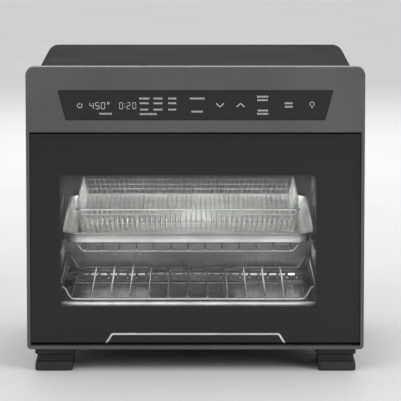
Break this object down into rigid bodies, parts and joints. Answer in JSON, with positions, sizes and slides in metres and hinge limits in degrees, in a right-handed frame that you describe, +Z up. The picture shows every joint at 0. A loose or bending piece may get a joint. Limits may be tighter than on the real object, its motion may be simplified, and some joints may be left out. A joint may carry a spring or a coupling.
{
  "type": "toaster oven",
  "caption": "Countertop toaster oven with a drop-down glass door, a touch screen across the top, wire racks, a baking tray with a mesh basket, tubular heaters and a fan.",
  "frame": {"origin": "on the floor, under the middle of the bounding box", "axes": "+Z up, the door faces -Y, +X to the right seen from the front"},
  "size_m": [0.4, 0.38, 0.3632],
  "materials": {
    "bezel_plastic": "satin moulded, dark grey",
    "housing_paint": "satin powder coat, charcoal",
    "door_enamel": "gloss black enamel",
    "window_glass": "clear tempered",
    "screen_glass": "smooth black touch lens",
    "black_plastic": "fine moulded texture",
    "foot_rubber": "matte",
    "cavity_steel": "satin",
    "frame_steel": "zinc plated",
    "heater_tube": "satin oxide",
    "wire_chrome": "bright plated wire",
    "tray_steel": "satin pressed sheet",
    "trim_metal": "polished",
    "circuit_board": "solder mask",
    "lamp_glass": "frosted"
  },
  "bodies": {
    "housing": {"front_bezel": "bezel_plastic", "outer_wrap": "housing_paint", "back_panel": "housing_paint", "base_pan": "housing_paint", "face_frame": "frame_steel", "foot_pad_front_left": "foot_rubber", "foot_block_front_left": "black_plastic", "foot_pad_front_right": "foot_rubber", "foot_block_front_right": "black_plastic", "foot_pad_rear_left": "foot_rubber", "foot_block_rear_left": "black_plastic", "foot_pad_rear_right": "foot_rubber", "foot_block_rear_right": "black_plastic", "rear_bumper_left": "foot_rubber", "rear_bumper_right": "foot_rubber", "cord_gland": "black_plastic", "control_glass": "screen_glass", "control_board": "circuit_board", "power_board": "circuit_board", "door_switch_body": "black_plastic", "cavity_floor": "cavity_steel", "cavity_ceiling": "cavity_steel", "cavity_wall_left": "cavity_steel", "cavity_wall_right": "cavity_steel", "cavity_wall_rear": "cavity_steel", "door_gasket": "foot_rubber", "rear_vent_strip": "cavity_steel", "rack_rail_left": "frame_steel", "rack_rail_right": "frame_steel", "heater_lower_front": "heater_tube", "heater_lower_rear": "heater_tube", "heater_upper_front": "heater_tube", "heater_upper_rear": "heater_tube", "lamp_lens": "lamp_glass", "lamp_housing": "frame_steel", "temperature_probe": "frame_steel", "fan_motor": "frame_steel", "motor_bracket": "frame_steel", "fan_cover": "cavity_steel"},
    "door": {"door_panel": "door_enamel", "hinge_pin_left": "frame_steel", "hinge_pin_right": "frame_steel", "door_window": "window_glass", "door_inner_glass": "window_glass", "door_liner": "frame_steel", "door_grip": "black_plastic", "trim_outline": "trim_metal"},
    "lower_rack": {"lower_rack": "wire_chrome", "lower_rack_side_left": "wire_chrome", "lower_rack_side_right": "wire_chrome"},
    "upper_rack": {"upper_rack": "wire_chrome", "upper_rack_stop": "wire_chrome"},
    "baking_tray": {"baking_tray": "tray_steel"},
    "air_fry_basket": {"air_fry_basket": "wire_chrome"},
    "crumb_tray": {"crumb_tray": "tray_steel"},
    "fan": {"convection_fan": "frame_steel", "fan_shaft": "frame_steel", "cooling_fan": "black_plastic"},
    "switch_plunger": {"switch_plunger": "black_plastic"}
  },
  "joints": [
    {"name": "door_hinge", "type": "hinge", "parent": "housing", "child": "door", "pos_m": [0, -0.179, 0.037], "axis": [1, 0, 0], "range_deg": [0, 90], "stiffness_Nm_per_rad": 0.3, "springref_deg": -17.19},
    {"name": "lower_rack_slide", "type": "slide", "parent": "housing", "child": "lower_rack", "axis": [0, -1, 0], "range_m": [0, 0.0945]},
    {"name": "upper_rack_slide", "type": "slide", "parent": "housing", "child": "upper_rack", "axis": [0, -1, 0], "range_m": [0, 0.189]},
    {"name": "tray_lift", "type": "slide", "parent": "upper_rack", "child": "baking_tray", "axis": [0, 0, 1], "range_m": [0, 0.015]},
    {"name": "basket_lift", "type": "slide", "parent": "baking_tray", "child": "air_fry_basket", "axis": [0, 0, 1], "range_m": [0, 0.02]},
    {"name": "crumb_tray_slide", "type": "slide", "parent": "housing", "child": "crumb_tray", "axis": [0, 1, 0], "range_m": [0, 0.27]},
    {"name": "fan_spin", "type": "hinge", "parent": "housing", "child": "fan", "pos_m": [-0.009, 0, 0.3], "axis": [0, 0, 1], "continuous": true},
    {"name": "switch_travel", "type": "slide", "parent": "housing", "child": "switch_plunger", "axis": [0, 1, 0], "range_m": [0, 0.0025], "stiffness_N_per_m": 300}
  ],
  "couplings": [
    {"joint": "lower_rack_slide", "follows": "door_hinge", "m_per_rad": 0.06},
    {"joint": "upper_rack_slide", "follows": "door_hinge", "m_per_rad": 0.12}
  ]
}
